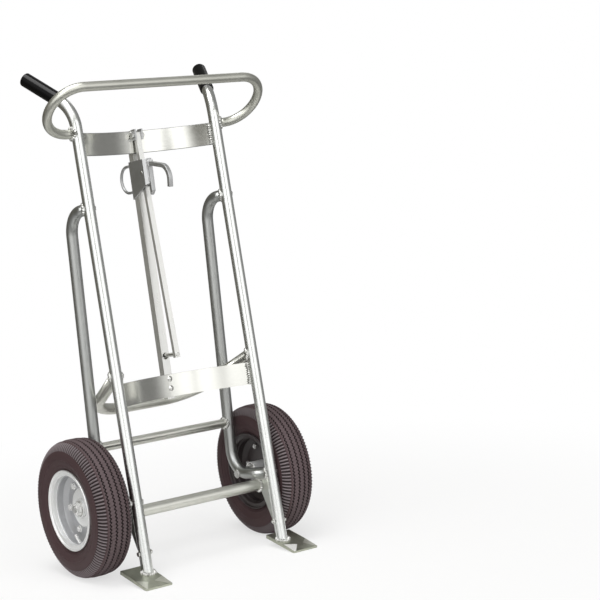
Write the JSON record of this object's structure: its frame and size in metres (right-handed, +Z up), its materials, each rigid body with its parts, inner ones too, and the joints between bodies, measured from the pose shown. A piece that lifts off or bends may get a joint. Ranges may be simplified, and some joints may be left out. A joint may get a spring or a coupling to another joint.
{
  "type": "drum hand truck",
  "caption": "Two-wheeled hand truck for steel drums: leaning welded pipe frame, bowed cradle straps, toe plates and a sliding chime hook with a hanging lock rod.",
  "frame": {"origin": "middle of the footprint on the floor, with the truck standing on its wheels and toe plates", "axes": "+X along the axles to the truck's left as its user stands behind it facing the drum, -Y towards the drum, +Z up"},
  "size_m": [0.7444, 0.4802, 1.443],
  "materials": {
    "frame_aluminium": "mill finish",
    "grip_vinyl": "gloss black",
    "toe_steel": "forged, ground",
    "zinc_fasteners": "zinc plated",
    "axle_steel": "turned",
    "slider_steel": "zinc plated",
    "rim_zinc": "bright zinc plated",
    "rim_black": "satin",
    "tyre_rubber": "matt",
    "tube_rubber": "matt"
  },
  "bodies": {
    "frame": {"left_post": "frame_aluminium", "left_rear_runner": "frame_aluminium", "left_gusset": "frame_aluminium", "right_post": "frame_aluminium", "right_rear_runner": "frame_aluminium", "right_gusset": "frame_aluminium", "handle_loop": "frame_aluminium", "rear_cross_tube": "frame_aluminium", "lower_cross_tube": "frame_aluminium", "upper_cradle_strap": "frame_aluminium", "lower_cradle_strap": "frame_aluminium", "cradle_brace": "frame_aluminium", "hook_rail": "frame_aluminium", "pivot_lug": "frame_aluminium", "left_grip": "grip_vinyl", "right_grip": "grip_vinyl", "left_toe_plate": "toe_steel", "left_toe_spigot": "toe_steel", "right_toe_plate": "toe_steel", "right_toe_spigot": "toe_steel", "toe_bolts": "zinc_fasteners", "toe_nuts": "zinc_fasteners", "rail_bolts": "zinc_fasteners", "rail_nuts": "zinc_fasteners", "pivot_bolt": "zinc_fasteners", "pivot_nut": "zinc_fasteners", "axle_washers": "zinc_fasteners", "axle_nuts": "zinc_fasteners", "left_axle": "axle_steel", "left_axle_collar": "axle_steel", "right_axle": "axle_steel", "right_axle_collar": "axle_steel"},
    "left_wheel": {"left_tyre": "tyre_rubber", "left_inner_tube": "tube_rubber", "left_rim_outer": "rim_zinc", "left_rim_inner": "rim_black", "left_hub": "axle_steel", "left_bearings": "axle_steel", "left_rim_bolts": "zinc_fasteners", "left_rim_nuts": "zinc_fasteners"},
    "right_wheel": {"right_tyre": "tyre_rubber", "right_inner_tube": "tube_rubber", "right_rim_outer": "rim_zinc", "right_rim_inner": "rim_black", "right_hub": "axle_steel", "right_bearings": "axle_steel", "right_rim_bolts": "zinc_fasteners", "right_rim_nuts": "zinc_fasteners"},
    "hook_slider": {"slider_bracket": "slider_steel", "slider_pin": "zinc_fasteners", "hook_shank": "slider_steel", "chime_hook": "slider_steel", "slider_handle": "slider_steel"},
    "lock_rod": {"lock_rod": "frame_aluminium", "guide_pin": "zinc_fasteners"}
  },
  "joints": [
    {"name": "left_wheel_spin", "type": "hinge", "parent": "frame", "child": "left_wheel", "pos_m": [-0.315, 0.04005, 0.2], "axis": [1, 0, 0], "continuous": true},
    {"name": "right_wheel_spin", "type": "hinge", "parent": "frame", "child": "right_wheel", "pos_m": [0.315, 0.04005, 0.2], "axis": [1, 0, 0], "continuous": true},
    {"name": "hook_slide", "type": "slide", "parent": "frame", "child": "hook_slider", "axis": [0, 0.1135, 0.9935], "range_m": [-0.28, 0.018]},
    {"name": "lock_rod_swing", "type": "hinge", "parent": "frame", "child": "lock_rod", "pos_m": [0, 0.10033, 1.24265], "axis": [-1, 0, 0], "range_deg": [-4, 0.3]}
  ],
  "couplings": [
    {"joint": "lock_rod_swing", "follows": "hook_slide", "rad_per_m": 0.2425}
  ]
}
